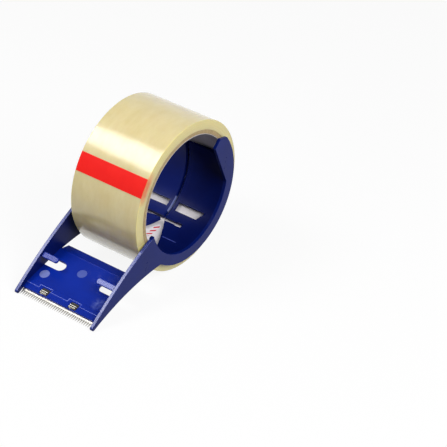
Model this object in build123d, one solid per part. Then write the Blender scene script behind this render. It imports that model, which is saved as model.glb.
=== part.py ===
from build123d import *
import os
from math import asin, cos, degrees, radians, sin

# Hand-held packing tape dispenser with a new roll of tape in it.
# +X points to the blade, +Y to the left-hand arm, +Z up. The table is z = 0.

# Tape roll
tape_width = 48.0
core_bore_d = 76.0
liner_wall = 0.3
core_wall = 2.6
winding_depth = 6.1
tab_wall = 0.15
tab_length = 11.6
tab_side_margin = 0.3
tab_angle = 30.0

# Side arms, seen from the side
left_roll_gap = 1.0
right_roll_gap = 5.0
arm_wall = 2.0
nose_ahead = 40.8
nose_r = 1.4
nose_top_angle = 53.0
nose_under_angle = 252.0
arm_corner_angle = 16.8
arm_under_angle = 51.4
arm_top_bow = 1.9
arm_under_bow = 3.2
flex_setback = 35.8

# Half-hubs, rim flanges and the web at the rear tip of each flange
hub_clearance = 0.45
hub_wall = 2.2
hub_draft = 1.1
hub_gap = 1.0
hub_top_angle = 20.0
hub_taper_start = 68.0
hub_taper_end = 155.0
flange_lip = 4.6
tip_angle = 46.5
tip_outer_angle = 38.5
tip_drop = 4.1
web_depth = 3.8
web_end_angle = 8.0

# Openings in each half-hub
window_angle = 51.0
window_width = 5.6
window_start = 2.8
window_length = 17.6
window_skew = 3.1
slit_width = 2.0
slit_length = 8.5
slit_end_width = 2.8
slit_end_length = 4.4

# Bridge plate between the arms
plate_setback = 5.1
plate_front_height = 3.1
plate_rear_drop = 1.9
plate_wall = 1.6
plate_length = 34.4
shelf_length = 3.8
shelf_step = 0.5
lip_length = 6.6
lip_slope = 10.6
lip_side_gap = 0.5

# Guide fingers and the mould openings under them, reaching in to these distances from the fittings' middle
fittings_y = -1.2
finger_place = 20.4
finger_height = 7.3
finger_end = 14.6
finger_width = 3.4
finger_wall = 1.8
finger_slope = 34.0
slot_place = 23.0
slot_width = 7.0
slot_end = 13.2

# Cutter blade
blade_wall = 0.5
blade_side_gap = 0.4
blade_depth = 6.5
blade_reach = 1.9
tooth_length = 2.7
tooth_pitch = 1.5
lugs_y = -2.2
lug_place = 10.7
lug_width = 5.2
lug_fit = 0.4
lug_front = 0.9
lug_length = 3.9
lug_rise = 0.3

# Sizes that follow from those above
liner_r = core_bore_d / 2 + liner_wall
core_r = liner_r + core_wall
tape_r = core_r + winding_depth
hub_r = core_bore_d / 2 - hub_clearance
hub_inner_r = hub_r - hub_wall
flange_r = hub_r + flange_lip
inner_y = (tape_width + left_roll_gap + right_roll_gap) / 2
outer_y = inner_y + arm_wall
roll_y = inner_y - left_roll_gap - tape_width / 2
nose_reach = tape_r + nose_ahead
flex_reach = nose_reach - flex_setback
hub_z = tape_r
hub_x = (tape_r - nose_reach) / 2
plate_rise = hub_z - plate_front_height - flange_r * sin(radians(arm_under_angle)) - plate_rear_drop
plate_slope = degrees(asin(plate_rise / plate_length))
far = 2 * (nose_reach + 2 * tape_r)


def at_angle(radius, angle, centre=(0.0, 0.0)):
    """Point at an angle from +X towards +Z, in the side view."""
    return (centre[0] + radius * cos(radians(angle)), centre[1] + radius * sin(radians(angle)))


def slab(outline, y_low, y_high):
    """Side-view outline given its thickness from y_low to y_high."""
    return extrude(Plane.XZ.offset(-y_low) * outline, amount=y_low - y_high)


def ring(outer, inner, y_low, y_high):
    """Round tube about the roll's axis."""
    return slab(Circle(outer) - Circle(inner), y_low, y_high)


def on_plate(along, above=0.0):
    """Side-view point: along the plate from its front edge, and above the front shelf's surface."""
    slope = radians(plate_slope)
    return (
        nose_reach - plate_setback - along * cos(slope) + above * sin(slope),
        plate_front_height - hub_z + along * sin(slope) + above * cos(slope),
    )


def plate_plane(along, y, above=0.0):
    """Plane on the plate, with its own x to the rear along the slope and its own z square to it."""
    x, z = on_plate(along, above)
    slope = radians(plate_slope)
    return Plane(origin=(x, y, z), x_dir=(-cos(slope), 0, sin(slope)), z_dir=(sin(slope), 0, cos(slope)))


def front_half():
    """Everything ahead of the place where the arms bend."""
    return Pos(flex_reach + far / 2, 0, 0) * Box(far, far, far)


def arm_outline():
    """Side view of one arm with its flange: rim, arm, nose, hub opening and rear web."""
    nose = (nose_reach - nose_r, nose_r - hub_z)
    nose_top = at_angle(nose_r, nose_top_angle, nose)
    nose_tip = at_angle(nose_r, 0, nose)
    nose_under = at_angle(nose_r, nose_under_angle, nose)
    corner = at_angle(hub_inner_r, -arm_corner_angle)
    under = at_angle(flange_r, -arm_under_angle)
    rim_low = at_angle(flange_r, 270)
    tip_outer = at_angle(flange_r, 180 - tip_outer_angle)
    tip_top = at_angle(flange_r - tip_drop, 180 - tip_angle)
    tip_inner = at_angle(hub_inner_r - web_depth, 180 - tip_angle)
    web_end = at_angle(hub_inner_r, 180 + web_end_angle)
    hub_low = at_angle(hub_inner_r, 270)
    edges = [
        ThreePointArc(tip_outer, rim_low, under),
        SagittaArc(under, nose_under, arm_under_bow),
        ThreePointArc(nose_under, nose_tip, nose_top),
        SagittaArc(nose_top, corner, -arm_top_bow),
        ThreePointArc(corner, hub_low, web_end),
        Line(web_end, tip_inner),
        Line(tip_inner, tip_top),
        Line(tip_top, tip_outer),
    ]
    return make_face(edges)


def radial_cut(angle, points):
    """Cut through the hub wall at an angle below the rear: points are round the hub and along its axis."""
    x, z = at_angle(1, 180 + angle)
    plane = Plane(origin=(0, 0, 0), x_dir=(z, 0, -x), z_dir=(x, 0, z))
    outline = plane.offset(hub_inner_r / 2) * make_face(Polyline(*points, close=True))
    return extrude(outline, amount=hub_r)


def half_hub():
    """Left half of the hub: a drafted shell under the roll's core, tapering away towards the arm."""
    free_y = hub_gap / 2
    section = Polyline(
        (hub_inner_r, inner_y),
        (hub_r, inner_y),
        (hub_r - hub_draft, free_y),
        (hub_inner_r, free_y),
        close=True,
    )
    shell = revolve(make_face(section), Axis.Y)
    open_top = Polyline(
        (0, 0),
        at_angle(far, 180 - hub_top_angle),
        (0, far),
        at_angle(far, -arm_corner_angle),
        close=True,
    )
    shell -= slab(make_face(open_top), -far, far)
    taper_start_x = -hub_r * cos(radians(hub_taper_start))
    taper_end_x = -hub_r * cos(radians(hub_taper_end))
    slant = (inner_y - free_y) / (taper_end_x - taper_start_x)
    taper = Polyline(
        (taper_start_x, free_y),
        (taper_start_x, free_y - far),
        (taper_start_x + far, free_y - far),
        (taper_start_x + far, free_y + slant * far),
        close=True,
    )
    shell -= Pos(0, 0, -far / 2) * extrude(make_face(taper), amount=far)
    window_end = window_start + window_length
    window = [
        (-window_width / 2, window_start),
        (window_width / 2, window_start),
        (window_width / 2, window_end + window_skew / 2),
        (-window_width / 2, window_end - window_skew / 2),
    ]
    shell -= radial_cut(window_angle, window)
    slit_end = free_y + slit_length
    slit = [
        (-slit_width / 2, 0),
        (slit_width / 2, 0),
        (slit_width / 2, slit_end),
        (slit_end_width / 2, slit_end),
        (slit_end_width / 2, slit_end + slit_end_length),
        (-slit_end_width / 2, slit_end + slit_end_length),
        (-slit_end_width / 2, slit_end),
        (-slit_width / 2, slit_end),
    ]
    return shell - radial_cut(hub_taper_start, slit)


def side_arm():
    """Left-hand arm behind the bending place, with its flange and half-hub."""
    return slab(arm_outline(), inner_y, outer_y) - front_half() + half_hub()


def bridge_plate():
    """Sloping plate with a stepped front shelf, a rear lip that turns down, windows and mould openings."""
    ridge = on_plate(plate_length, shelf_step)
    fall = radians(lip_slope)
    lip_end = (ridge[0] - lip_length * cos(fall), ridge[1] - lip_length * sin(fall))
    turn = radians((plate_slope + lip_slope) / 2)
    lean = radians((plate_slope - lip_slope) / 2)
    under_ridge = (
        ridge[0] - plate_wall / cos(turn) * sin(lean),
        ridge[1] - plate_wall / cos(turn) * cos(lean),
    )
    under_lip = (lip_end[0] + plate_wall * sin(fall), lip_end[1] - plate_wall * cos(fall))
    main = Polyline(
        on_plate(0),
        on_plate(shelf_length),
        on_plate(shelf_length, shelf_step),
        ridge,
        under_ridge,
        on_plate(0, shelf_step - plate_wall),
        close=True,
    )
    lip = Polyline(ridge, lip_end, under_lip, under_ridge, close=True)
    lip_y = inner_y - lip_side_gap
    plate = slab(make_face(main), -inner_y, inner_y) + slab(make_face(lip), -lip_y, lip_y)
    for side in (-1, 1):
        slot_length = inner_y - slot_end - side * fittings_y
        opening = SlotOverall(2 * slot_length, slot_width, rotation=90)
        cut_at = plate_plane(slot_place, side * inner_y)
        plate -= extrude(cut_at * opening, amount=plate_wall, both=True)
        lug_window = Rectangle(lug_length + 2 * lug_fit, lug_width + 2 * lug_fit)
        window_at = plate_plane(lug_front + lug_length / 2, lugs_y + side * lug_place)
        plate -= extrude(window_at * lug_window, amount=plate_wall, both=True)
    return plate


def guide_finger(side):
    """Flat tongue with a round end that stands in from the arm on one side, over the plate."""
    x, z = on_plate(finger_place, shelf_step + finger_height)
    tilt = radians(finger_slope)
    root = (x, side * inner_y, z)
    flat = Plane(origin=root, x_dir=(cos(tilt), 0, -sin(tilt)), z_dir=(sin(tilt), 0, cos(tilt)))
    finger_length = inner_y - finger_end - side * fittings_y
    tongue = SlotOverall(2 * finger_length, finger_width, rotation=90)
    both_ways = extrude(flat * tongue, amount=finger_wall / 2, both=True)
    return both_ways & Box(far, 2 * inner_y, far)


def front_bridge():
    """Bridge plate with the front ends of both arms and the guide fingers."""
    arm = slab(arm_outline(), inner_y, outer_y) & front_half()
    return bridge_plate() + arm + mirror(arm, Plane.XZ) + guide_finger(1) + guide_finger(-1)


def cutter_blade():
    """Sheet steel strip under the front shelf, with saw teeth ahead and two lugs up through the windows."""
    top = shelf_step - plate_wall
    half_width = inner_y - blade_side_gap
    teeth = round(2 * half_width / tooth_pitch)
    pitch = 2 * half_width / teeth
    points = [(blade_depth, half_width), (blade_depth, -half_width)]
    for tooth in range(teeth):
        y = -half_width + tooth * pitch
        points.append((-blade_reach, y))
        points.append((-blade_reach - tooth_length, y + pitch / 2))
    points.append((-blade_reach, half_width))
    strip = extrude(plate_plane(0, 0, top) * make_face(Polyline(*points, close=True)), amount=-blade_wall)
    for side in (-1, 1):
        rise = lug_rise + blade_wall - top
        lug_y = lugs_y + side * lug_place
        post_at = plate_plane(lug_front + lug_length - blade_wall / 2, lug_y, top)
        strip += extrude(post_at * Rectangle(blade_wall, lug_width), amount=rise)
        flap_at = plate_plane(lug_front + lug_length / 2, lug_y, lug_rise)
        strip += extrude(flap_at * Rectangle(lug_length, lug_width), amount=blade_wall)
    return strip


def start_tab():
    """Strip over the film's free end, across the front of the roll."""
    half_angle = degrees(tab_length / tape_r) / 2
    wedge = Polyline(
        (0, 0),
        at_angle(far, tab_angle - half_angle),
        at_angle(far, tab_angle + half_angle),
        close=True,
    )
    half_width = tape_width / 2 - tab_side_margin
    shell = ring(tape_r + tab_wall, tape_r, -half_width, half_width)
    return shell & slab(make_face(wedge), -far, far)


half_tape = tape_width / 2
on_roll = Pos(0, roll_y, 0)
left_arm = side_arm()
nodes = {
    "front_bridge": front_bridge(),
    "left_side_arm": left_arm,
    "right_side_arm": mirror(left_arm, Plane.XZ),
    "cutter_blade": cutter_blade(),
    "tape_core": on_roll * ring(core_r, liner_r, -half_tape, half_tape),
    "core_liner": on_roll * ring(liner_r, core_bore_d / 2, -half_tape, half_tape),
    "tape_winding": on_roll * ring(tape_r, core_r, -half_tape, half_tape),
    "start_tab": on_roll * start_tab(),
}

os.makedirs("parts", exist_ok=True)
for name, solid in nodes.items():
    export_step(Pos(hub_x, 0, hub_z) * solid, f"parts/{name}.step")
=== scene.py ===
from math import asin, cos, degrees, pi, radians, sin
import bmesh
import bpy
from mathutils import Matrix, Vector


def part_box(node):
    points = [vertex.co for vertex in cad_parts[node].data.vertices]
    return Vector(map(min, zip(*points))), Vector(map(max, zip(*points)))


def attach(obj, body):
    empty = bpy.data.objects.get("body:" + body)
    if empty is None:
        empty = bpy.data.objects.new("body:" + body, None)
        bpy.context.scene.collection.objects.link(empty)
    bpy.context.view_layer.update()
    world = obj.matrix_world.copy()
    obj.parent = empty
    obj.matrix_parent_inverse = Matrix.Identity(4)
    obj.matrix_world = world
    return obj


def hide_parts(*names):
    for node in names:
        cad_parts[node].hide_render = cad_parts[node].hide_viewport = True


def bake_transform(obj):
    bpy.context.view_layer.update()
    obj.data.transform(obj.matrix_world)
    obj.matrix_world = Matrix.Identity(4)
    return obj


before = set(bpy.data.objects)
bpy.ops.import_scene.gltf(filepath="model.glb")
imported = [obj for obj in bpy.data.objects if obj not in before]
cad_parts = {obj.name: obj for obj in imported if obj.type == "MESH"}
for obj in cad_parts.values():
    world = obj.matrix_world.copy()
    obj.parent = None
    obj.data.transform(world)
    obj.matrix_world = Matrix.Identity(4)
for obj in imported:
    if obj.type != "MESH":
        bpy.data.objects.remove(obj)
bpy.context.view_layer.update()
mm = 0.001
# how near counts as touching, in millimetres, and how often a seam is tried
mend = {"weld": 0.001, "near": 0.01, "cut": 0.02, "seam": 0.004, "rounds": 40}


def nodeBox(node):
    low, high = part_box(node)
    return low / mm, high / mm


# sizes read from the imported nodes, in millimetres; pieces are modelled about the hub axis
rollLow, rollHigh = nodeBox("tape_winding")
coreLow, coreHigh = nodeBox("tape_core")
linerLow, linerHigh = nodeBox("core_liner")
armLow = nodeBox("left_side_arm")[0]
bridgeHigh = nodeBox("front_bridge")[1]
hub = Vector(((rollLow.x + rollHigh.x) / 2, 0, (rollLow.z + rollHigh.z) / 2))
rollY = (rollLow.y + rollHigh.y) / 2
halfTape = (rollHigh.y - rollLow.y) / 2
tapeR = (rollHigh.z - rollLow.z) / 2
coreR = (coreHigh.z - coreLow.z) / 2
linerR = (linerHigh.z - linerLow.z) / 2
flangeR = hub.x - armLow.x
outerY = bridgeHigh.y
freeY = armLow.y
noseReach = bridgeHigh.x - hub.x
print("frame read: roll", round(2 * tapeR, 2), "mm across, frame", round(2 * outerY, 2), "mm wide")


# shapes shared by several pieces

def sideAt(radius, angle, centre=(0.0, 0.0)):  # side view: angle from +X towards +Z
    turn = radians(angle)
    return Vector((centre[0] + radius * cos(turn), centre[1] + radius * sin(turn)))


def arc(radius, first, last, steps, centre=(0.0, 0.0)):  # leaves the last point to what follows
    return [sideAt(radius, first + (last - first) * i / steps, centre) for i in range(steps)]


def bowed(first, last, bow, steps):  # gentle bend, bow high in the middle
    across = Vector((first.y - last.y, last.x - first.x)).normalized()
    shares = [i / steps for i in range(steps)]
    return [first.lerp(last, s) + across * bow * 4 * s * (1 - s) for s in shares]


def thicken(bm, corners, shift):  # flat face through the corners, drawn out by shift
    face = bm.faces.new([bm.verts.new(corner) for corner in corners])
    wide = bmesh.ops.extrude_face_region(bm, geom=[face])
    moved = [part for part in wide["geom"] if isinstance(part, bmesh.types.BMVert)]
    bmesh.ops.translate(bm, verts=moved, vec=shift)


def slab(bm, outline, low, high):  # side-view outline made as wide as low to high
    thicken(bm, [(p.x, low, p.y) for p in outline], (0, high - low, 0))
    bmesh.ops.recalc_face_normals(bm, faces=bm.faces)


def cutThrough(bm, place, normal, gap, clear=False):  # plane through the whole mesh
    bmesh.ops.bisect_plane(bm, geom=bm.verts[:] + bm.edges[:] + bm.faces[:], plane_co=place, plane_no=normal,
                           dist=gap, clear_inner=clear)


def block(low, high, where):
    bm = bmesh.new()
    size = Vector(high) - Vector(low)
    bmesh.ops.create_cube(bm, size=1)
    bmesh.ops.scale(bm, vec=size, verts=bm.verts)
    bmesh.ops.translate(bm, vec=(Vector(high) + Vector(low)) / 2, verts=bm.verts)
    bmesh.ops.transform(bm, matrix=where, verts=bm.verts)
    return bm


def ringFrom(bm, profile, steps):  # profile of (radius, y) points turned about the roll's axis
    verts = [bm.verts.new((radius, y, 0)) for radius, y in profile]
    edges = [bm.edges.new((verts[i - 1], verts[i])) for i in range(len(verts))]
    bmesh.ops.spin(bm, geom=verts + edges, cent=(0, 0, 0), axis=(0, 1, 0), angle=2 * pi,
                   steps=steps, use_merge=True)
    bmesh.ops.remove_doubles(bm, verts=bm.verts, dist=mend["weld"])
    bmesh.ops.recalc_face_normals(bm, faces=bm.faces)


def sharpEdges(bm, least=40):
    return [e for e in bm.edges if e.is_manifold and e.calc_face_angle(0) > radians(least)]


def roundOff(bm, edges, size, steps=2):
    made = bmesh.ops.bevel(bm, geom=edges, offset=size, offset_type="OFFSET", segments=steps, profile=0.5,
                           affect="EDGES", clamp_overlap=True, material=-1)
    return made["faces"]


def turnedOver(bm):  # left-hand shape made right-handed
    bmesh.ops.scale(bm, vec=(1, -1, 1), verts=bm.verts)
    bmesh.ops.reverse_faces(bm, faces=bm.faces)


def makePiece(name, bm, *finishes):
    bmesh.ops.scale(bm, vec=(mm, mm, mm), verts=bm.verts)
    bmesh.ops.translate(bm, vec=hub * mm, verts=bm.verts)
    mesh = bpy.data.meshes.new(name)
    bm.to_mesh(mesh)
    bm.free()
    for finish in finishes:
        mesh.materials.append(finish)
    piece = bpy.data.objects.new(name, mesh)
    bpy.context.scene.collection.objects.link(piece)
    return piece


def seamCorner(bm, close):  # an open edge with another open corner on it, and the share of its length
    edges = [e for e in bm.edges if e.is_boundary]
    corners = list(dict.fromkeys(v for e in edges for v in e.verts))
    for edge in edges:
        first, last = edge.verts
        along = last.co - first.co
        for corner in corners:
            share = (corner.co - first.co).dot(along) / along.length_squared
            onEdge = 0 < share < 1 and (first.co + along * share - corner.co).length < close
            if onEdge and corner not in edge.verts:
                return edge, share


def closeSeams(bm, close=mend["seam"]):  # merges what a boolean or bevel leaves doubled or split
    bmesh.ops.remove_doubles(bm, verts=bm.verts, dist=close)
    bmesh.ops.dissolve_degenerate(bm, edges=bm.edges, dist=close)
    for turn in range(mend["rounds"]):
        seam = seamCorner(bm, close)
        if not seam:
            break
        edge, share = seam
        bmesh.utils.edge_split(edge, edge.verts[0], share)
        bmesh.ops.remove_doubles(bm, verts=bm.verts, dist=close)
    bmesh.ops.delete(bm, geom=[e for e in bm.edges if e.is_wire], context="EDGES")


def tidyMesh(mesh):
    bm = bmesh.new()
    bm.from_mesh(mesh)
    closeSeams(bm, mend["seam"] * mm)
    bm.to_mesh(mesh)
    bm.free()


def joinWith(piece, other, how):  # boolean with another piece, which is used up
    change = piece.modifiers.new("join", "BOOLEAN")
    change.object = other
    change.operation = how
    change.solver = "EXACT"
    change.material_mode = "TRANSFER"
    seen = bpy.context.evaluated_depsgraph_get()
    joined = bpy.data.meshes.new_from_object(piece.evaluated_get(seen))
    piece.modifiers.clear()
    old = piece.data
    piece.data = joined
    joined.name = piece.name
    bpy.data.meshes.remove(old)
    bpy.data.objects.remove(other)


def smoothOver(piece, crease=42, weight=80):
    for face in piece.data.polygons:
        face.use_smooth = True
    piece.data.set_sharp_from_angle(angle=radians(crease))
    even = piece.modifiers.new("evenNormals", "WEIGHTED_NORMAL")
    even.keep_sharp = True
    even.weight = weight


# finishes

def newFinish(name):
    finish = bpy.data.materials.new(name)
    finish.use_nodes = True
    return finish, finish.node_tree, finish.node_tree.nodes["Principled BSDF"]


def setSockets(shader, values):
    for key, value in values.items():
        shader.inputs[key].default_value = value


def addNode(tree, kind, inputs=None, **settings):
    node = tree.nodes.new(kind)
    for key, value in settings.items():
        setattr(node, key, value)
    for key, value in (inputs or {}).items():
        if isinstance(value, bpy.types.NodeSocket):
            tree.links.new(value, node.inputs[key])
        else:
            node.inputs[key].default_value = value
    return node


def maths(tree, operation, *values):
    return addNode(tree, "ShaderNodeMath", dict(enumerate(values)), operation=operation).outputs[0]


def ranged(tree, value, first, last, low=0.0, high=1.0):  # low to high as value goes from first to last
    node = addNode(tree, "ShaderNodeMapRange", {"Value": value, "From Min": first, "From Max": last,
                                                "To Min": low, "To Max": high})
    return node.outputs["Result"]


def spread(tree, value, low, high):  # 0 to 1 spread over low to high
    return ranged(tree, value, 0.0, 1.0, low, high)


def scaled(tree, where, scale):
    return addNode(tree, "ShaderNodeMapping", {"Vector": where, "Scale": scale}).outputs[0]


def lengthOf(tree, vector):
    return addNode(tree, "ShaderNodeVectorMath", {0: vector}, operation="LENGTH").outputs["Value"]


def twoTone(tree, factor, deep, pale, stops=(0.3, 0.7)):
    ramp = addNode(tree, "ShaderNodeValToRGB", {"Fac": factor})
    for mark, place, colour in zip(ramp.color_ramp.elements, stops, (deep, pale)):
        mark.position = place
        mark.color = (*colour, 1)
    return ramp.outputs["Color"]


def mixColours(tree, factor, first, second):
    node = addNode(tree, "ShaderNodeMix", {0: factor}, data_type="RGBA")
    for socket, colour in ((node.inputs[6], first), (node.inputs[7], second)):
        if isinstance(colour, bpy.types.NodeSocket):
            tree.links.new(colour, socket)
        else:
            socket.default_value = (*colour, 1)
    return node.outputs[2]


def grain(tree, where, scale, detail=3.0, rough=0.5):
    node = addNode(tree, "ShaderNodeTexNoise", {"Vector": where, "Scale": scale, "Detail": detail,
                                                "Roughness": rough})
    return node.outputs["Fac"]


def fineRings(tree, radius, scale, detail):  # uneven tone from ring to ring about the roll's axis
    node = addNode(tree, "ShaderNodeTexNoise", {"W": radius, "Scale": scale, "Detail": detail},
                   noise_dimensions="1D")
    return node.outputs["Fac"]


def sink(tree, shader, height, strength, depth):  # bump, with its depth in millimetres
    bump = addNode(tree, "ShaderNodeBump", {"Height": height, "Strength": strength, "Distance": depth * mm})
    tree.links.new(bump.outputs["Normal"], shader.inputs["Normal"])


def objectPlace(tree):
    return addNode(tree, "ShaderNodeTexCoord").outputs["Object"]


def aroundRoll(tree):  # angle round the roll, place along its axis and radius, in radians and metres
    centre = (-hub.x * mm, -rollY * mm, -hub.z * mm)
    centred = addNode(tree, "ShaderNodeMapping", {"Vector": objectPlace(tree), "Location": centre})
    part = addNode(tree, "ShaderNodeSeparateXYZ", {"Vector": centred.outputs["Vector"]}).outputs
    flat = addNode(tree, "ShaderNodeCombineXYZ", {"X": part["X"], "Y": part["Z"]}).outputs[0]
    return maths(tree, "ARCTAN2", part["Z"], part["X"]), part["Y"], lengthOf(tree, flat)


def rubbed(tree, where, blue, patch):  # patchy pale rub marks about one place
    placed = {"Vector": where, "Location": patch["centre"], "Scale": patch["size"],
              "Rotation": (0, patch["turn"], 0)}
    local = addNode(tree, "ShaderNodeMapping", placed, vector_type="TEXTURE").outputs[0]
    near = ranged(tree, lengthOf(tree, local), patch["solid"], 1.0, 1.0, 0.0)
    worn = ranged(tree, grain(tree, local, patch["grain"], detail=2), *patch["worn"])
    return mixColours(tree, maths(tree, "MULTIPLY", near, worn), blue, patch["colour"])


moulded = {"cloudScale": 70, "cloudDetail": 4, "pitScale": 5200, "pitDetail": 2, "pitStrength": 0.12,
           "pitDepth": 0.06}


def makeBlue(name, look, cloudScale=moulded["cloudScale"], patch=None):
    finish, tree, shader = newFinish(name)
    where = objectPlace(tree)
    cloud = grain(tree, where, cloudScale, moulded["cloudDetail"])
    pits = grain(tree, where, moulded["pitScale"], moulded["pitDetail"])
    blue = twoTone(tree, cloud, look["deep"], look["colour"])
    if patch:
        blue = rubbed(tree, where, blue, patch)
    tree.links.new(blue, shader.inputs["Base Color"])
    tree.links.new(spread(tree, cloud, *look["rough"]), shader.inputs["Roughness"])
    shader.inputs["Specular IOR Level"].default_value = look["gloss"]
    sink(tree, shader, pits, moulded["pitStrength"], moulded["pitDepth"])
    return finish


armPlastic = {"colour": (0.003, 0.015, 0.185), "deep": (0.002, 0.012, 0.15),
              "rough": (0.24, 0.34), "gloss": 0.12}
# painted shade: a darker copy of the arms' blue for their inner faces
shadedInnerPlastic = {"colour": (0.002, 0.009, 0.115), "deep": (0.002, 0.007, 0.09),
                "rough": (0.3, 0.4), "gloss": 0.1}
# painted highlight: a lighter, glossier blue for the arms' upper edges
edgeHighlightPlastic = {"colour": (0.02, 0.04, 0.30), "deep": (0.01, 0.03, 0.24),
               "rough": (0.22, 0.30), "gloss": 0.6}
hubPlastic = {"colour": (0.003, 0.011, 0.13), "deep": (0.002, 0.008, 0.105),
              "rough": (0.26, 0.36), "gloss": 0.08}
shadePlastic = {"colour": (0.002, 0.008, 0.10), "deep": (0.002, 0.006, 0.08),
                "rough": (0.26, 0.36), "gloss": 0.06}
# painted highlight: pale blue for the right half-hub's free edge beside the window
hubHighlightPlastic = {"colour": (0.26, 0.30, 0.58), "deep": (0.18, 0.22, 0.50),
                  "rough": (0.35, 0.45), "gloss": 0.4}
scuffedPlastic = {"colour": (0.10, 0.13, 0.45), "deep": (0.014, 0.034, 0.36),
                  "rough": (0.35, 0.55), "gloss": 0.3}

# painted glow: the film's sides near the tab take on the tab's red, standing in for its light carried through
# the film
tab = {"length": 11.6, "sideMargin": 0.3, "wall": 0.15, "angle": 30.0, "steps": 20, "edgeRound": 0.05}
film = {
    "straw": (0.745, 0.612, 0.293), "pale": (0.815, 0.693, 0.367), "rough": (0.16, 0.26),
    "streakStretch": (2.0, 85.0, 60.0), "streakScale": 1.6, "streakDetail": 4, "streakRough": 0.6,
    "sideDeepGlow": (0.93, 0.72, 0.24), "sidePaleGlow": (0.99, 0.84, 0.37), "layerScale": 9000.0, "layerDetail": 3.0,
    "sideFrom": 0.5, "sideFull": 0.2,
    "tabGlowRed": (1.0, 0.23, 0.035), "tabGlowDepth": 5.6, "tabGlowFull": 2.8, "tabGlowReach": (0.08, 0.24),
    "ripple": 0.9, "rippleStretch": (13.0, 11.0, 0.0), "rippleRough": 0.4, "relief": 0.25, "reliefDepth": 0.1,
    "sockets": {"Subsurface Weight": 0.4, "Subsurface Radius": (1.0, 0.8, 0.4), "Subsurface Scale": 0.008,
                "Specular IOR Level": 0.1, "Coat Weight": 1.0, "Coat IOR": 1.6, "Coat Roughness": 0.19},
}


def makeFilm():
    finish, tree, shader = newFinish("clearTapeFilm")
    angle, along, radius = aroundRoll(tree)
    flat = addNode(tree, "ShaderNodeCombineXYZ", {"X": angle, "Y": along, "Z": radius}).outputs[0]
    drawn = scaled(tree, flat, film["streakStretch"])
    streaks = grain(tree, drawn, film["streakScale"], film["streakDetail"], film["streakRough"])
    straw = twoTone(tree, streaks, film["straw"], film["pale"])
    layers = fineRings(tree, radius, film["layerScale"], film["layerDetail"])
    # painted glow: the sides' ring colours are pale, standing in for light carried through the film from its
    # lit top; the ring-to-ring tone is the film's own
    litSideRings = twoTone(tree, layers, film["sideDeepGlow"], film["sidePaleGlow"])
    offMiddle = maths(tree, "ABSOLUTE", along)
    onSide = ranged(tree, offMiddle, (halfTape - film["sideFrom"]) * mm, (halfTape - film["sideFull"]) * mm)
    fromTab = maths(tree, "ABSOLUTE", maths(tree, "SUBTRACT", angle, radians(tab["angle"])))
    nearTab = ranged(tree, fromTab, *film["tabGlowReach"], 1.0, 0.0)
    nearRim = ranged(tree, radius, (tapeR - film["tabGlowDepth"]) * mm, (tapeR - film["tabGlowFull"]) * mm)
    # painted glow: the tab's red is painted onto the sides near the rim beside the tab
    glow = mixColours(tree, maths(tree, "MULTIPLY", nearTab, nearRim), litSideRings, film["tabGlowRed"])
    tree.links.new(mixColours(tree, onSide, straw, glow), shader.inputs["Base Color"])
    tree.links.new(spread(tree, streaks, *film["rough"]), shader.inputs["Roughness"])
    setSockets(shader, film["sockets"])
    rippled = scaled(tree, flat, film["rippleStretch"])
    ripples = grain(tree, rippled, scale=1.0, detail=2, rough=film["rippleRough"])
    relief = maths(tree, "MULTIPLY_ADD", ripples, film["ripple"], layers)
    sink(tree, shader, relief, film["relief"], film["reliefDepth"])
    return finish


board = {"deep": (0.42, 0.30, 0.15), "pale": (0.66, 0.50, 0.27), "stops": (0.35, 0.65), "rough": 0.85,
         "plyScale": 3500.0, "plyDetail": 2.0, "fibreScale": 900, "fibreDetail": 5, "relief": 0.4,
         "reliefDepth": 0.2}


def makeBoard():
    finish, tree, shader = newFinish("coreBoard")
    plies = fineRings(tree, aroundRoll(tree)[2], board["plyScale"], board["plyDetail"])
    fibres = grain(tree, objectPlace(tree), board["fibreScale"], board["fibreDetail"])
    half = addNode(tree, "ShaderNodeMix", {"Factor": 0.5, 2: plies, 3: fibres}).outputs[0]
    brown = twoTone(tree, half, board["deep"], board["pale"], board["stops"])
    tree.links.new(brown, shader.inputs["Base Color"])
    shader.inputs["Roughness"].default_value = board["rough"]
    sink(tree, shader, half, board["relief"], board["reliefDepth"])
    return finish


paper = {"deep": (0.77, 0.73, 0.75), "pale": (0.84, 0.80, 0.82), "rough": 0.85, "gloss": 0.02,
         "fibreScale": 700, "fibreDetail": 5, "relief": 0.1, "reliefDepth": 0.1}
dashes = {"count": 64, "lean": 220.0, "share": 0.42, "middle": -2.9, "half": 1.5, "ink": (0.62, 0.03, 0.05),
          "groups": 4, "groupAngle": -96.0, "groupHalf": 9.0}


def inkedDashes(tree):  # short leaning dashes in a few groups round the liner
    angle, along = aroundRoll(tree)[:2]
    turns = maths(tree, "MULTIPLY", angle, dashes["count"] / (2 * pi))
    leaned = maths(tree, "MULTIPLY_ADD", along, dashes["lean"], turns)
    wide = maths(tree, "LESS_THAN", maths(tree, "FRACT", leaned), dashes["share"])
    off = maths(tree, "ABSOLUTE", maths(tree, "SUBTRACT", along, dashes["middle"] * mm))
    tall = maths(tree, "LESS_THAN", off, dashes["half"] * mm)
    turned = maths(tree, "SUBTRACT", angle, radians(dashes["groupAngle"]))
    pitch = 2 * pi / dashes["groups"]
    aside = maths(tree, "ABSOLUTE", maths(tree, "WRAP", turned, pitch / 2, -pitch / 2))
    grouped = maths(tree, "LESS_THAN", aside, radians(dashes["groupHalf"]))
    return maths(tree, "MULTIPLY", maths(tree, "MULTIPLY", wide, tall), grouped)


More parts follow.
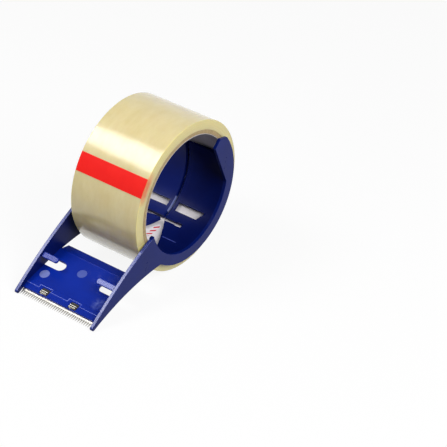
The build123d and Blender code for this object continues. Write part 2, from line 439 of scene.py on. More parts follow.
def makePaper():
    finish, tree, shader = newFinish("linerPaper")
    fibres = grain(tree, objectPlace(tree), paper["fibreScale"], paper["fibreDetail"])
    plain = twoTone(tree, fibres, paper["deep"], paper["pale"])
    tree.links.new(mixColours(tree, inkedDashes(tree), plain, dashes["ink"]), shader.inputs["Base Color"])
    setSockets(shader, {"Roughness": paper["rough"], "Specular IOR Level": paper["gloss"]})
    sink(tree, shader, fibres, paper["relief"], paper["reliefDepth"])
    return finish


tabRed = {"deep": (0.95, 0.010, 0.008), "pale": (0.99, 0.014, 0.010), "rough": (0.35, 0.5), "gloss": 0.25,
          "cloudScale": 160}


def makeRed():
    finish, tree, shader = newFinish("redTabFilm")
    cloud = grain(tree, objectPlace(tree), tabRed["cloudScale"])
    tree.links.new(twoTone(tree, cloud, tabRed["deep"], tabRed["pale"]), shader.inputs["Base Color"])
    tree.links.new(spread(tree, cloud, *tabRed["rough"]), shader.inputs["Roughness"])
    shader.inputs["Specular IOR Level"].default_value = tabRed["gloss"]
    return finish


groundSteel = {"deep": (0.60, 0.57, 0.51), "pale": (0.78, 0.75, 0.69), "rough": (0.26, 0.38)}
pressedSteel = {"deep": (0.30, 0.29, 0.26), "pale": (0.50, 0.48, 0.43), "rough": (0.30, 0.42)}
ribSteel = {"deep": (0.56, 0.54, 0.47), "pale": (0.76, 0.73, 0.65), "rough": (0.36, 0.48)}
brushed = {"stretch": (9.0, 0.4, 9.0), "lineScale": 900, "relief": 0.1, "reliefDepth": 0.05}


def makeSteel(name, look):
    finish, tree, shader = newFinish(name)
    lines = grain(tree, scaled(tree, objectPlace(tree), brushed["stretch"]), brushed["lineScale"])
    tree.links.new(twoTone(tree, lines, look["deep"], look["pale"]), shader.inputs["Base Color"])
    tree.links.new(spread(tree, lines, *look["rough"]), shader.inputs["Roughness"])
    shader.inputs["Metallic"].default_value = 1.0
    sink(tree, shader, lines, brushed["relief"], brushed["reliefDepth"])
    return finish


# painted shade: near-black steel for the lug's grooves and sunk rear end
grooveShade = {"deep": (0.008, 0.008, 0.010), "pale": (0.022, 0.021, 0.022), "rough": 0.6, "cloudScale": 2500}


def makeGrooveShade():
    finish, tree, shader = newFinish("paintedShadeSteel")
    cloud = grain(tree, objectPlace(tree), grooveShade["cloudScale"])
    tree.links.new(twoTone(tree, cloud, grooveShade["deep"], grooveShade["pale"]), shader.inputs["Base Color"])
    shader.inputs["Roughness"].default_value = grooveShade["rough"]
    return finish


armBlue = makeBlue("blueArmPlastic", armPlastic)
shadedInnerBlue = makeBlue("paintedShadeInnerPlastic", shadedInnerPlastic)
edgeHighlightBlue = makeBlue("paintedHighlightArmEdge", edgeHighlightPlastic)
hubBlue = makeBlue("blueHubPlastic", hubPlastic)
hubShade = makeBlue("shadedHubPlastic", shadePlastic)
hubHighlight = makeBlue("hubHighlightPlastic", hubHighlightPlastic)
scuffMark = makeBlue("scuffedPlastic", scuffedPlastic, cloudScale=420)
tapeFilm = makeFilm()
coreBoard = makeBoard()
linerPaper = makePaper()
redFilm = makeRed()
bladeSteel = makeSteel("bladeSteel", groundSteel)
toothSteel = makeSteel("toothSteel", pressedSteel)
lugSteel = makeSteel("lugSteel", ribSteel)
grooveShadeSteel = makeGrooveShade()
print("finishes made")


# tape winding: the film's edges show as fine uneven rings on both sides

winding = {"edgeRound": 0.25, "cornerShare": 0.3, "rings": 18, "uneven": 0.09, "waves": (2.1, 0.7),
           "steps": 220}


def windingProfile():
    soft, rings = winding["edgeRound"], winding["rings"]
    corner = winding["cornerShare"] * soft
    depth = tapeR - soft - coreR
    first, second = winding["waves"]
    side = []
    for ring in range(rings + 1):
        dent = winding["uneven"] * (0.5 + 0.5 * sin(first * ring) * cos(second * ring))
        side.append((coreR + depth * ring / rings, halfTape - dent))
    outer = [(tapeR - corner, halfTape - corner), (tapeR, halfTape - soft)]
    left = [(radius, rollY + y) for radius, y in side + outer]
    right = [(radius, rollY - y) for radius, y in side + outer]
    return left + right[::-1]


bm = bmesh.new()
ringFrom(bm, windingProfile(), winding["steps"])
roll = makePiece("tapeRollWinding", bm, tapeFilm)
smoothOver(roll)
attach(roll, "roll")
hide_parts("tape_winding")
print("winding made")


# cardboard core and its printed liner

core = {"edgeRound": 0.3, "linerWall": 0.3, "linerInset": 0.15, "linerRound": 0.05, "steps": 180}


def tubeProfile(inner, outer, half, soft):
    left = [(inner, half - soft), (inner + soft, half), (outer - soft, half), (outer, half - soft)]
    right = [(radius, -y) for radius, y in left[::-1]]
    return [(radius, rollY + y) for radius, y in left + right]


bm = bmesh.new()
ringFrom(bm, tubeProfile(linerR, coreR, halfTape, core["edgeRound"]), core["steps"])
tube = makePiece("cardboardCore", bm, coreBoard)
smoothOver(tube)
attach(tube, "roll")
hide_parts("tape_core")

bm = bmesh.new()
boreR = linerR - core["linerWall"]
ringFrom(bm, tubeProfile(boreR, linerR, halfTape - core["linerInset"], core["linerRound"]), core["steps"])
liner = makePiece("coreLiner", bm, linerPaper)
smoothOver(liner)
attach(liner, "roll")
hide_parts("core_liner")
print("core and liner made")


# red start tab over the film's end

def makeTab():
    bm = bmesh.new()
    half = degrees(tab["length"] / tapeR) / 2
    wide = halfTape - tab["sideMargin"]
    section = [(tapeR, -wide), (tapeR + tab["wall"], -wide), (tapeR + tab["wall"], wide), (tapeR, wide)]
    start = Matrix.Rotation(-radians(tab["angle"] + half), 3, "Y")
    face = bm.faces.new([bm.verts.new(start @ Vector((r, rollY + y, 0))) for r, y in section])
    bmesh.ops.spin(bm, geom=[face], cent=(0, 0, 0), axis=(0, 1, 0), angle=radians(2 * half),
                   steps=tab["steps"])
    bmesh.ops.recalc_face_normals(bm, faces=bm.faces)
    roundOff(bm, sharpEdges(bm), tab["edgeRound"])
    return makePiece("redStartTab", bm, redFilm)


redTab = makeTab()
smoothOver(redTab)
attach(redTab, "roll")
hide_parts("start_tab")
print("start tab made")


# side arms: flat arm, rim flange and half of the hub

arm = {
    "wall": 2.0, "topBow": 1.9, "underBow": 3.2, "bowSteps": 26,
    "noseR": 1.4, "noseTop": 53.0, "noseUnder": -108.0, "noseSteps": 14, "cornerAngle": 16.8,
    "tipAngle": 46.5, "tipOuter": 38.5, "tipDrop": 4.1, "rimSteps": 90, "webDepth": 3.8, "webEnd": 8.0,
    "underAngle": 51.4, "filletUnder": 3.0, "filletSteps": 6, "edgeRound": 0.42, "edgeSteps": 3,
    "flexStart": 54.0, "flexEnd": 42.0, "flexLoops": 7,
    "highlightUp": 0.3, "highlightAhead": 0.2, "highlightAside": 0.85, "innerFace": 0.9,
}
halfHub = {
    "wall": 2.2, "clearance": 0.45, "draft": 1.1, "topAngle": 20.0, "taperStart": 68.0, "taperEnd": 155.0,
    "edgeRound": 0.28, "edgeSteps": 2, "sharp": 50, "steps": 78, "topSteps": 14, "rows": 12, "weld": 0.03,
    "seat": 0.6, "seatGap": 0.03, "rootMargin": 0.2, "cutDepth": 0.75, "highlightTilt": 0.6, "highlightDepth": 0.5,
    "windowAngle": 51.0, "windowStart": 2.8, "windowLength": 17.6, "windowSkew": 3.1,
    "slitWidth": 2.0, "slitLength": 8.5, "slitEndWidth": 2.8, "slitEndLength": 4.4,
}
hubForms = {  # the right half's wall is thicker inside, with a painted highlight on its free edge beside the window; the left half takes a darker copy of the hub's blue as painted shade
    1: {"lean": 0.0, "windowWidth": 5.6, "highlightHalf": 0.0, "finish": hubShade},
    -1: {"lean": 1.5, "windowWidth": 4.6, "highlightHalf": 9.0, "finish": hubBlue},
}
innerY = outerY - arm["wall"]
hubR = boreR - halfHub["clearance"]
hubBore = hubR - halfHub["wall"]


def armOutline():
    nose = Vector((noseReach - arm["noseR"], arm["noseR"] - hub.z))
    noseTop = sideAt(arm["noseR"], arm["noseTop"], nose)
    noseUnder = sideAt(arm["noseR"], arm["noseUnder"], nose)
    corner = sideAt(hubBore, -arm["cornerAngle"])
    under = sideAt(flangeR, -arm["underAngle"])
    rim = arc(flangeR, 180 - arm["tipOuter"], 360 - arm["underAngle"], arm["rimSteps"])
    underEdge = bowed(under, noseUnder, arm["underBow"], arm["bowSteps"])
    noseRound = arc(arm["noseR"], arm["noseUnder"], arm["noseTop"], arm["noseSteps"], nose)
    topEdge = bowed(noseTop, corner, -arm["topBow"], arm["bowSteps"])
    bore = arc(hubBore, -arm["cornerAngle"], arm["webEnd"] - 180, halfHub["steps"])
    webEnd = sideAt(hubBore, 180 + arm["webEnd"])
    tipInner = sideAt(hubBore - arm["webDepth"], 180 - arm["tipAngle"])
    tipTop = sideAt(flangeR - arm["tipDrop"], 180 - arm["tipAngle"])
    return rim + underEdge + noseRound + topEdge + bore + [webEnd, tipInner, tipTop]


def onBore(vert):  # on the hub's bore, where the half-hub joins the inner face
    return abs((vert.co.x ** 2 + vert.co.z ** 2) ** 0.5 - hubBore) < mend["near"]


def paintedHighlightEdge(face):  # the arm's upper edge ahead of the hub, painted lighter as a highlight
    up = face.normal
    facing = up.z > arm["highlightUp"] and up.x > arm["highlightAhead"] and abs(up.y) < arm["highlightAside"]
    return facing and face.calc_center_median().x > hubBore


def makeArmPlate(name, side):
    bm = bmesh.new()
    near = mend["near"]
    slab(bm, armOutline(), innerY, outerY)
    under = sideAt(flangeR, -arm["underAngle"])
    root = [e for e in bm.edges if all((v.co.xz - under).length < near for v in e.verts)]
    roundOff(bm, root, arm["filletUnder"], arm["filletSteps"])
    joint = [e for e in bm.edges if all(onBore(v) and v.co.y < innerY + near for v in e.verts)]
    across = [e for e in bm.edges if abs(e.verts[0].co.y - e.verts[1].co.y) > near]
    rim = [e for e in sharpEdges(bm) if e not in joint and e not in across]
    roundOff(bm, rim, arm["edgeRound"], arm["edgeSteps"])
    for loop in range(arm["flexLoops"]):
        x = arm["flexEnd"] + (arm["flexStart"] - arm["flexEnd"]) * loop / (arm["flexLoops"] - 1)
        cutThrough(bm, (x, 0, 0), (1, 0, 0), near)
    closeSeams(bm)
    bm.normal_update()
    for face in bm.faces:
        # upper edge faces ahead of the hub take the lighter blue as a painted highlight
        if paintedHighlightEdge(face):
            face.material_index = 1
        # the inner face takes the darker blue as painted shade
        elif face.normal.y < -arm["innerFace"]:
            face.material_index = 2
    if side < 0:
        turnedOver(bm)
    return makePiece(name, bm, armBlue, edgeHighlightBlue, shadedInnerBlue)


def openWall(bm, angle, outline):  # cuts an outline of (round the hub, along y) points out of the shell
    out = sideAt(1, 180 + angle)
    outward, around = Vector((out.x, 0, out.y)), Vector((out.y, 0, -out.x))
    corners = [around * u + Vector((0, y, 0)) for u, y in outline]

    def near():
        return [f for f in bm.faces if f.calc_center_median().dot(outward) > halfHub["cutDepth"] * hubBore]

    for i, corner in enumerate(corners):
        edge = corner - corners[i - 1]
        parts = dict.fromkeys(part for face in near() for part in (face, *face.edges, *face.verts))
        bmesh.ops.bisect_plane(bm, geom=list(parts), plane_co=corner, plane_no=edge.cross(outward),
                               dist=mend["cut"])
    inside = []
    for face in near():
        middle = face.calc_center_median()
        turns = [(c - corners[i - 1]).cross(middle - corners[i - 1]).dot(outward)
                 for i, c in enumerate(corners)]
        if all(t > 0 for t in turns) or all(t < 0 for t in turns):
            inside.append(face)
    bmesh.ops.delete(bm, geom=inside, context="FACES")


def leanIn(side, y):  # how far the hub's wall stands in from its plain bore
    return hubForms[side]["lean"] * (innerY - y) / (innerY - freeY)


def hubShell():  # swept round from the arm's corner up past the web, its free edge cut on a slant
    bm = bmesh.new()
    rows = halfHub["rows"]
    start = sideAt(hubBore, -arm["cornerAngle"])
    deep = innerY + halfHub["seat"] - freeY
    line = [bm.verts.new((start.x, freeY + deep * i / rows, start.y)) for i in range(rows + 1)]
    edges = [bm.edges.new(pair) for pair in zip(line, line[1:])]
    sweep = 180 - arm["webEnd"] - arm["cornerAngle"]
    turned = bmesh.ops.spin(bm, geom=line + edges, cent=(0, 0, 0), axis=(0, 1, 0),
                            angle=radians(sweep), steps=halfHub["steps"])
    bmesh.ops.spin(bm, geom=turned["geom_last"], cent=(0, 0, 0), axis=(0, 1, 0),
                   angle=radians(arm["webEnd"] + halfHub["topAngle"]), steps=halfHub["topSteps"])
    startX = -hubR * cos(radians(halfHub["taperStart"]))
    endX = -hubR * cos(radians(halfHub["taperEnd"]))
    slant = (innerY - freeY) / (endX - startX)
    cutThrough(bm, (startX, freeY, 0), (-slant, 1, 0), mend["cut"], clear=True)
    return bm


def openHub(bm, form):  # window, slit and the slit's wider end
    half, skew = form["windowWidth"] / 2, halfHub["windowSkew"] / 2
    low = halfHub["windowStart"]
    high = low + halfHub["windowLength"]
    openWall(bm, halfHub["windowAngle"],
             [(-half, low), (half, low), (half, high + skew), (-half, high - skew)])
    half, high = halfHub["slitWidth"] / 2, freeY + halfHub["slitLength"]
    openWall(bm, halfHub["taperStart"], [(-half, -freeY), (half, -freeY), (half, high), (-half, high)])
    half, low = halfHub["slitEndWidth"] / 2, high
    high = low + halfHub["slitEndLength"]
    openWall(bm, halfHub["taperStart"], [(-half, low), (half, low), (half, high), (-half, high)])


def makeHalfHub(side):
    form = hubForms[side]
    bm = hubShell()
    openHub(bm, form)
    bmesh.ops.remove_doubles(bm, verts=bm.verts, dist=halfHub["weld"])
    bmesh.ops.recalc_face_normals(bm, faces=bm.faces)
    bmesh.ops.solidify(bm, geom=bm.faces[:], thickness=halfHub["wall"])
    for vert in bm.verts:
        flat = Vector((vert.co.x, 0, vert.co.z))
        wide = hubBore + halfHub["seatGap"] - leanIn(side, vert.co.y)
        if abs(flat.length - hubBore) > halfHub["wall"] / 2:
            wide = hubR - halfHub["draft"] * (innerY - vert.co.y) / (innerY - freeY)
        vert.co = flat.normalized() * wide + Vector((0, vert.co.y, 0))
    bmesh.ops.recalc_face_normals(bm, faces=bm.faces)
    ahead = innerY - halfHub["rootMargin"]
    free = [e for e in sharpEdges(bm, halfHub["sharp"]) if any(v.co.y < ahead for v in e.verts)]
    roundOff(bm, free, halfHub["edgeRound"], halfHub["edgeSteps"])
    closeSeams(bm)
    bm.normal_update()
    # free edge faces beside the window take the pale blue as a painted highlight
    beside = sideAt(1, 180 + halfHub["windowAngle"])
    for face in bm.faces:
        middle = face.calc_center_median()
        onFreeEdge = face.normal.y < -halfHub["highlightTilt"] and middle.y < freeY + halfHub["highlightDepth"]
        if onFreeEdge and degrees(middle.xz.angle(beside)) < form["highlightHalf"]:
            face.material_index = 1
    if side < 0:
        turnedOver(bm)
    return makePiece("halfHub", bm, form["finish"], hubHighlight)


for name, side, body, node in (("leftSideArm", 1, "left_arm", "left_side_arm"),
                               ("rightSideArm", -1, "right_arm", "right_side_arm")):
    piece = makeArmPlate(name, side)
    joinWith(piece, makeHalfHub(side), "UNION")
    tidyMesh(piece.data)
    smoothOver(piece)
    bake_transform(piece)
    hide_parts(node)

hubRib = {"half": 0.3, "start": 9.6, "end": 19.6, "height": 0.26, "sunk": 0.1, "edgeRound": 0.16}
for side, name, body in ((1, "leftHubRib", "left_arm"), (-1, "rightHubRib", "right_arm")):
    ends = sorted((side * hubRib["start"], side * hubRib["end"]))
    bm = block((-hubRib["half"], ends[0], -hubRib["sunk"]), (hubRib["half"], ends[1], hubRib["height"]),
               Matrix.Translation((0, 0, -hubBore)))
    roundOff(bm, sharpEdges(bm), hubRib["edgeRound"])
    for vert in bm.verts:
        vert.co.z += leanIn(side, abs(vert.co.y))
    rib = makePiece(name, bm, scuffMark)
    smoothOver(rib)
    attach(rib, body)
print("side arms made")


# bridge plate between the arms, with its fingers

plate = {
    "setback": 5.1, "frontHeight": 3.1, "rearDrop": 1.9, "length": 34.4, "wall": 1.6,
    "shelf": 3.8, "step": 0.5, "faintLine": 6.9, "faintStep": 0.1, "faintNear": 0.05,
    "lipLength": 6.6, "lipSlope": 10.6, "lipGap": 0.5, "ridgeBead": 1.2, "beadHeight": 0.17,
    "middle": -1.2, "slotPlace": 23.0, "slotWidth": 7.0, "slotEnd": 13.2,
    "lugsMiddle": -2.2, "lugPlace": 10.7, "lugFront": 0.9, "lugLength": 3.9, "lugWidth": 5.2, "lugFit": 0.4,
    "recess": 0.7, "recessRight": 2.2, "recessLeft": 0.4, "sharp": 50, "edgeRound": 0.16, "edgeSteps": 2,
    "topRound": 0.34, "topSteps": 3, "topFrom": 0.3, "highlightEnd": 6.7, "crease": 30,
    "markRadius": 3.0, "markDepth": 0.12, "markSteps": 48, "markTool": 2.0,
}
finger = {"place": 20.4, "height": 7.3, "end": 14.6, "width": 3.4, "wall": 1.8, "slope": 34.0, "cornerR": 1.5,
          "sharp": 60, "edgeRound": 0.4, "edgeSteps": 3}
rub = {"along": 11.4, "y": 20.0, "size": (5.6, 4.6, 3.0), "colour": (0.15, 0.20, 0.58), "solid": 0.1,
       "worn": (0.34, 0.78), "grain": 2.1}
# painted light: the plate's blue is lighter than the arms', standing in for light through the thin plate
litPlatePlastic = {"colour": (0.003, 0.024, 0.34), "deep": (0.002, 0.019, 0.285),
                "rough": (0.24, 0.34), "gloss": 0.12}
# painted highlight: the fingers' blue is lighter and glossier than the plate's; the far finger's copy is
# darker as painted shade
highlitFingerPlastic = {"colour": (0.03, 0.06, 0.42), "deep": (0.015, 0.04, 0.36),
                 "rough": (0.26, 0.36), "gloss": 0.55}
shadedFarFingerHighlight = {"colour": (0.02, 0.045, 0.38), "deep": (0.01, 0.03, 0.32),
                    "rough": (0.26, 0.36), "gloss": 0.3}
# painted highlight: pale blue for the rounded edges near the shelf's step
stepHighlightPlastic = {"colour": (0.10, 0.15, 0.62), "deep": (0.05, 0.09, 0.52),
               "rough": (0.3, 0.4), "gloss": 0.5}
dullMark = {"colour": (0.09, 0.13, 0.44), "deep": (0.06, 0.09, 0.40),
            "rough": (0.4, 0.5), "gloss": 0.3}
ejectorGloss = {"colour": (0.18, 0.22, 0.53), "deep": (0.14, 0.17, 0.47),
                "rough": (0.45, 0.55), "gloss": 0.4}
plateRise = hub.z - plate["frontHeight"] - flangeR * sin(radians(arm["underAngle"])) - plate["rearDrop"]
plateSlope = asin(plateRise / plate["length"])


def plateAt(along, above=0.0):  # side view: along the plate from its front edge, above the shelf
    return Vector((noseReach - plate["setback"] - along * cos(plateSlope) + above * sin(plateSlope),
                   plate["frontHeight"] - hub.z + along * sin(plateSlope) + above * cos(plateSlope)))


rubPlace = plateAt(rub["along"], plate["step"])
rubPatch = dict(rub, centre=(Vector((rubPlace.x, rub["y"], rubPlace.y)) + hub) * mm, turn=plateSlope,
                size=Vector(rub["size"]) * mm)
litRubbedPlateBlue = makeBlue("paintedLitRubbedPlate", litPlatePlastic, patch=rubPatch)
highlitFingerBlue = makeBlue("paintedHighlightFinger", highlitFingerPlastic)
shadedFarFingerBlue = makeBlue("shadedFarFingerHighlight", shadedFarFingerHighlight)
stepHighlightBlue = makeBlue("paintedHighlightStep", stepHighlightPlastic, cloudScale=300)
ejectorMark = makeBlue("ejectorMarkPlastic", ejectorGloss)
ejectorDull = makeBlue("dullMarkPlastic", dullMark)
plateMarks = ((13.4, -21.8, ejectorMark), (24.6, -2.8, ejectorDull))  # along, y


def onPlate(along, y, above=0.0, slope=None):  # x forward and down the plate, z square to it
    place = plateAt(along, above)
    turn = Matrix.Rotation(plateSlope if slope is None else radians(slope), 4, "Y")
    return Matrix.Translation((place.x, y, place.y)) @ turn


def fromArm(along, side, above=0.0, slope=None):  # at one arm's inner face, with y pointing inwards
    inwards = Matrix.Rotation(pi if side > 0 else 0, 4, "Z")
    return onPlate(along, side * innerY, above, slope) @ inwards


def tongue(length, width, thick, cornerR, where, steps=8):  # flat tongue along +y with rounded end corners
    bm = bmesh.new()
    half, end = width / 2, length
    points = [Vector((half, 0))]
    points += arc(cornerR, 0, 90, steps, (half - cornerR, end - cornerR))
    points += arc(cornerR, 90, 180, steps, (cornerR - half, end - cornerR))
    points += [Vector((-half, end - cornerR)), Vector((-half, 0))]
    thicken(bm, [(p.x, p.y, -thick / 2) for p in points], (0, 0, thick))
    bmesh.ops.remove_doubles(bm, verts=bm.verts, dist=mend["weld"])
    bmesh.ops.recalc_face_normals(bm, faces=bm.faces)
    bmesh.ops.transform(bm, matrix=where, verts=bm.verts)
    return bm


def plateOutlines():  # the stepped plate and the lip that falls away behind its ridge
    step, wall, length = plate["step"], plate["wall"], plate["length"]
    ridge = plateAt(length, step)
    fall = radians(plate["lipSlope"])
    lipEnd = ridge + Vector((-cos(fall), -sin(fall))) * plate["lipLength"]
    lipUnder = lipEnd + Vector((sin(fall), -cos(fall))) * wall
    turn, lean = (plateSlope + fall) / 2, (plateSlope - fall) / 2
    ridgeUnder = ridge - Vector((sin(lean), cos(lean))) * wall / cos(turn)
    shelf, faint, bead = plate["shelf"], plate["faintLine"], plate["ridgeBead"]
    low = step - plate["faintStep"]
    main = [plateAt(0), plateAt(shelf), plateAt(shelf, low), plateAt(faint, low), plateAt(faint, step),
            plateAt(length - bead, step), plateAt(length - bead / 2, step + plate["beadHeight"]),
            ridge, ridgeUnder, plateAt(0, step - wall)]
    return main, [ridge, lipEnd, lipUnder, ridgeUnder]


def openPlate(bridge, side):  # mould opening, lug recess and lug window on one side
    wall, fit = plate["wall"], plate["lugFit"]
    reach = innerY - plate["slotEnd"] - side * plate["middle"]
    where = fromArm(plate["slotPlace"], side)
    opening = tongue(reach, plate["slotWidth"], 4 * wall, plate["slotWidth"] / 2 - mend["near"], where)
    joinWith(bridge, makePiece("slotCut", opening, litRubbedPlateBlue), "DIFFERENCE")
    where = onPlate(0, plate["lugsMiddle"] + side * plate["lugPlace"])
    back = plate["lugFront"] + plate["lugLength"] + fit
    half = plate["lugWidth"] / 2 + fit
    recess = block((-back - plate["recess"], -half - plate["recessRight"], 0),
                   (0, half + plate["recessLeft"], wall), where)
    joinWith(bridge, makePiece("recessCut", recess, litRubbedPlateBlue), "DIFFERENCE")
    hole = block((-back, -half, -2 * wall), (fit - plate["lugFront"], half, wall), where)
    joinWith(bridge, makePiece("windowCut", hole, litRubbedPlateBlue), "DIFFERENCE")


def roundPlate(bridge):  # rounds all edges between the arms, and paints a highlight on the rounded upper edges near the shelf's step
    bm = bmesh.new()
    bm.from_mesh(bridge.data)
    bmesh.ops.scale(bm, vec=(1 / mm,) * 3, verts=bm.verts)
    front = plateAt(0)
    level = Vector((front.x, 0, front.y)) + hub
    square = Vector((sin(plateSlope), 0, cos(plateSlope)))
    downhill = Vector((cos(plateSlope), 0, -sin(plateSlope)))

    def along(place):
        return (level - place).dot(downhill)

    def onFaintLine(edge):  # its step is too low to round
        return all(abs(along(v.co) - plate["faintLine"]) < plate["faintNear"] for v in edge.verts)

    def betweenArms():
        edges = [e for e in sharpEdges(bm, plate["sharp"]) if not onFaintLine(e)]
        return [e for e in edges if not all(abs(v.co.y) > innerY - mend["near"] for v in e.verts)]

    upper = [e for e in betweenArms() if all((v.co - level).dot(square) > plate["topFrom"] for v in e.verts)]
    for face in roundOff(bm, upper, plate["topRound"], plate["topSteps"]):
        # rounded faces near the front take the pale blue as a painted highlight
        if along(face.calc_center_median()) < plate["highlightEnd"]:
            face.material_index = 1
    roundOff(bm, betweenArms(), plate["edgeRound"], plate["edgeSteps"])
    closeSeams(bm)
    bmesh.ops.scale(bm, vec=(mm,) * 3, verts=bm.verts)
    bm.to_mesh(bridge.data)
    bm.free()


def sinkMarks(bridge):  # shallow round marks left by the mould's ejector pins
    sunk = plate["step"] - plate["markDepth"] + plate["markTool"] / 2
    for along, y, finish in plateMarks:
        bm = bmesh.new()
        bmesh.ops.create_cone(bm, cap_ends=True, segments=plate["markSteps"], radius1=plate["markRadius"],
                              radius2=plate["markRadius"], depth=plate["markTool"])
        bmesh.ops.transform(bm, matrix=onPlate(along, y, sunk), verts=bm.verts)
        joinWith(bridge, makePiece("markCut", bm, finish), "DIFFERENCE")


def makeBridge():
    main, lip = plateOutlines()
    bm = bmesh.new()
    slab(bm, main, -innerY, innerY)
    bridge = makePiece("bridgePlate", bm, litRubbedPlateBlue, stepHighlightBlue)
    bm = bmesh.new()
    lipY = innerY - plate["lipGap"]
    slab(bm, lip, -lipY, lipY)
    joinWith(bridge, makePiece("lip", bm, litRubbedPlateBlue), "UNION")
    for side in (-1, 1):
        openPlate(bridge, side)
    roundPlate(bridge)
    sinkMarks(bridge)
    tidyMesh(bridge.data)
    return bridge


bridge = makeBridge()
smoothOver(bridge, plate["crease"])
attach(bridge, "bridge")
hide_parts("front_bridge")
for side, name, finish in ((1, "leftGuideFinger", highlitFingerBlue), (-1, "rightGuideFinger", shadedFarFingerBlue)):
    reach = innerY - finger["end"] - side * plate["middle"]
    where = fromArm(finger["place"], side, plate["step"] + finger["height"], finger["slope"])
    bm = tongue(reach, finger["width"], finger["wall"], finger["cornerR"], where)
    roundOff(bm, sharpEdges(bm, finger["sharp"]), finger["edgeRound"], finger["edgeSteps"])
    guide = makePiece(name, bm, finish)
    smoothOver(guide)
    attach(guide, "bridge")
print("bridge plate and fingers made")


# serrated steel blade under the shelf, with its lugs up through the plate

blade = {"wall": 0.5, "sideGap": 0.4, "depth": 6.5, "reach": 1.2, "tooth": 3.4, "pitch": 1.5, "tipWall": 0.12,
         "toothShare": 0.86, "groundFrom": 0.5, "margin": 0.1, "crease": 10}
lugForm = {"rise": 0.3, "ribs": 2, "ribPitch": 1.3, "ribHeight": 0.45, "ribShare": 0.46, "ribSteps": 6,
           "inset": 0.3, "grooveTilt": 0.9, "crease": 50}


def makeBlade():
    bm = bmesh.new()
    half, reach, wall = innerY - blade["sideGap"], blade["reach"], blade["wall"]
    teeth = round(2 * half / blade["pitch"])
    pitch = 2 * half / teeth
    root = pitch * blade["toothShare"] / 2
    points = [(-blade["depth"], half), (-blade["depth"], -half), (reach, -half)]
    for tooth in range(teeth):
        y = -half + (tooth + 0.5) * pitch
        points += [(reach, y - root), (reach + blade["tooth"], y), (reach, y + root)]
    points.append((reach, half))
    thicken(bm, [(x, y, -wall) for x, y in points], (0, 0, wall))
    for x in (blade["groundFrom"], reach):
        cutThrough(bm, (x, 0, 0), (1, 0, 0), mend["weld"])
    for vert in bm.verts:  # ground down from the top ahead of the plate, so the teeth are thin
        if vert.co.x > blade["groundFrom"] + blade["margin"] and vert.co.z > -mend["near"]:
            vert.co.z = blade["tipWall"] - wall
    bmesh.ops.recalc_face_normals(bm, faces=bm.faces)
    for face in bm.faces:
        face.material_index = int(face.calc_center_median().x > reach + blade["margin"])
    bmesh.ops.transform(bm, matrix=onPlate(0, 0, plate["step"] - plate["wall"]), verts=bm.verts)
    return makePiece("cutterBlade", bm, bladeSteel, toothSteel)


def makeLug(name, y):  # bent-up lug with ribs on top, near-black as painted shade in its grooves and at its sunk rear end
    bm = bmesh.new()
    front, back = -plate["lugFront"], -plate["lugFront"] - plate["lugLength"]
    low, top, wall = plate["step"] - plate["wall"], lugForm["rise"], blade["wall"]
    groove = top + wall - lugForm["ribHeight"]
    outline = [(front, top)]
    for rib in range(lugForm["ribs"]):
        start = front - rib * lugForm["ribPitch"]
        outline.append((start, groove))
        for i in range(lugForm["ribSteps"] + 1):
            turn = pi * i / lugForm["ribSteps"]
            along = start - lugForm["ribPitch"] * (0.5 - lugForm["ribShare"] / 2 * cos(turn))
            outline.append((along, groove + lugForm["ribHeight"] * sin(turn)))
    outline += [(back, groove), (back, low - wall), (back + wall, low - wall), (back + wall, top)]
    half = plate["lugWidth"] / 2 - lugForm["inset"]
    thicken(bm, [(x, -half, z) for x, z in outline], (0, 2 * half, 0))
    bmesh.ops.recalc_face_normals(bm, faces=bm.faces)
    # flat faces at groove height take the near-black steel as painted shade
    for face in bm.faces:
        if face.normal.z > lugForm["grooveTilt"] and abs(face.calc_center_median().z - groove) < mend["near"]:
            face.material_index = 1
    bmesh.ops.transform(bm, matrix=onPlate(0, y), verts=bm.verts)
    return makePiece(name, bm, lugSteel, grooveShadeSteel)


cutter = makeBlade()
smoothOver(cutter, blade["crease"])
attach(cutter, "bridge")
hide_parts("cutter_blade")
for side, name in ((1, "leftBladeLug"), (-1, "rightBladeLug")):
    lug = makeLug(name, plate["lugsMiddle"] + side * plate["lugPlace"])
    smoothOver(lug, lugForm["crease"])
    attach(lug, "bridge")
print("blade made")


# floor, light and camera

studio = {"floorSize": 6.0, "floorLit": 0.09, "floorSeen": 0.9, "ambient": 0.02, "zenith": 0.75,
          "fade": (0.05, 0.7)}
softboxes = {  # direction from the roll, distance, size and power
    "keySoftbox": ((0.415, -0.471, 0.779), 0.8, (0.34, 0.30), 2.9),
    "sideSoftbox": ((0.1, 0.75, 0.65), 1.2, (0.8, 0.8), 12.6),
    "frontFill": ((0.93, -0.2, 0.2), 1.0, (0.5, 0.3), 2.2),
}


def seenDirectly(tree):  # 1 for rays from the camera, mirrors and clear things
    path = addNode(tree, "ShaderNodeLightPath").outputs
    shiny = maths(tree, "MAXIMUM", path["Is Camera Ray"], path["Is Glossy Ray"])
    return maths(tree, "MAXIMUM", shiny, path["Is Transmission Ray"])


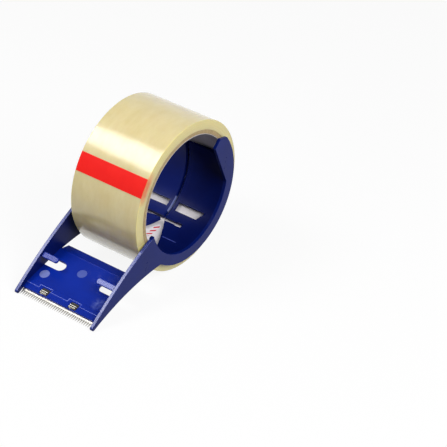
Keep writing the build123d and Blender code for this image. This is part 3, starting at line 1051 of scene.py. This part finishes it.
def makeFloor():
    bm = bmesh.new()
    bmesh.ops.create_grid(bm, x_segments=1, y_segments=1, size=studio["floorSize"] / 2)
    mesh = bpy.data.meshes.new("studioFloor")
    bm.to_mesh(mesh)
    bm.free()
    finish, tree, shader = newFinish("paleFloor")
    tree.nodes.remove(shader)
    seen = seenDirectly(tree)
    tone = spread(tree, seen, studio["floorLit"], 1.0)
    matt = addNode(tree, "ShaderNodeBsdfDiffuse", {"Color": tone}).outputs[0]
    white = addNode(tree, "ShaderNodeEmission", {"Color": (1, 1, 1, 1), "Strength": 1.0}).outputs[0]
    share = maths(tree, "MULTIPLY", seen, studio["floorSeen"])
    mixed = addNode(tree, "ShaderNodeMixShader", {0: share, 1: matt, 2: white}).outputs[0]
    tree.links.new(mixed, tree.nodes["Material Output"].inputs["Surface"])
    mesh.materials.append(finish)
    floor = bpy.data.objects.new("studioFloor", mesh)
    bpy.context.scene.collection.objects.link(floor)


def makeWorld():
    world = bpy.data.worlds.new("softStudio")
    bpy.context.scene.world = world
    world.use_nodes = True
    tree = world.node_tree
    lit = tree.nodes["Background"]
    setSockets(lit, {"Color": (1, 1, 1, 1), "Strength": studio["ambient"]})
    sky = addNode(tree, "ShaderNodeTexCoord").outputs["Generated"]
    rise = addNode(tree, "ShaderNodeSeparateXYZ", {"Vector": sky}).outputs["Z"]
    fade = ranged(tree, rise, *studio["fade"], 1.0, studio["zenith"])
    white = addNode(tree, "ShaderNodeBackground", {"Color": (1, 1, 1, 1), "Strength": fade}).outputs[0]
    seen = seenDirectly(tree)
    mixed = addNode(tree, "ShaderNodeMixShader", {0: seen, 1: lit.outputs[0], 2: white}).outputs[0]
    tree.links.new(mixed, tree.nodes["World Output"].inputs["Surface"])


def addSoftbox(name, direction, distance, size, power):
    lamp = bpy.data.lights.new(name, "AREA")
    lamp.shape = "RECTANGLE"
    lamp.size, lamp.size_y = size
    lamp.energy = power
    box = bpy.data.objects.new(name, lamp)
    bpy.context.scene.collection.objects.link(box)
    toward = Vector(direction).normalized()
    box.location = hub * mm + toward * distance
    box.rotation_mode = "QUATERNION"
    box.rotation_quaternion = toward.to_track_quat("Z", "Y")
    return box


photoView = {"eye": (0.6594, 0.5135, 0.5714), "azimuth": 124.13, "elevation": 32.93, "roll": 3.86,
             "focalPixels": 1704.5, "imagePixels": 447, "sensor": 36.0, "clip": (0.01, 50)}


def makeCamera():
    turn, rise, bank = (radians(photoView[k]) for k in ("azimuth", "elevation", "roll"))
    back = Vector((sin(turn) * cos(rise), -cos(turn) * cos(rise), sin(rise)))
    right = Vector((0, 0, 1)).cross(back).normalized()
    up = back.cross(right)
    tilted = cos(bank) * right + sin(bank) * up
    upright = cos(bank) * up - sin(bank) * right
    lens = bpy.data.cameras.new("photoCamera")
    lens.sensor_width = photoView["sensor"]
    lens.lens = photoView["sensor"] * photoView["focalPixels"] / photoView["imagePixels"]
    lens.clip_start, lens.clip_end = photoView["clip"]
    camera = bpy.data.objects.new("photoCamera", lens)
    axes = Matrix((tilted, upright, back)).transposed().to_4x4()
    camera.matrix_world = Matrix.Translation(photoView["eye"]) @ axes
    bpy.context.scene.collection.objects.link(camera)
    bpy.context.scene.camera = camera


makeFloor()
makeWorld()
for name, (direction, distance, size, power) in softboxes.items():
    addSoftbox(name, direction, distance, size, power).visible_glossy = name != "frontFill"
makeCamera()
bpy.context.scene.view_settings.view_transform = "Standard"
print("floor, light and camera set")
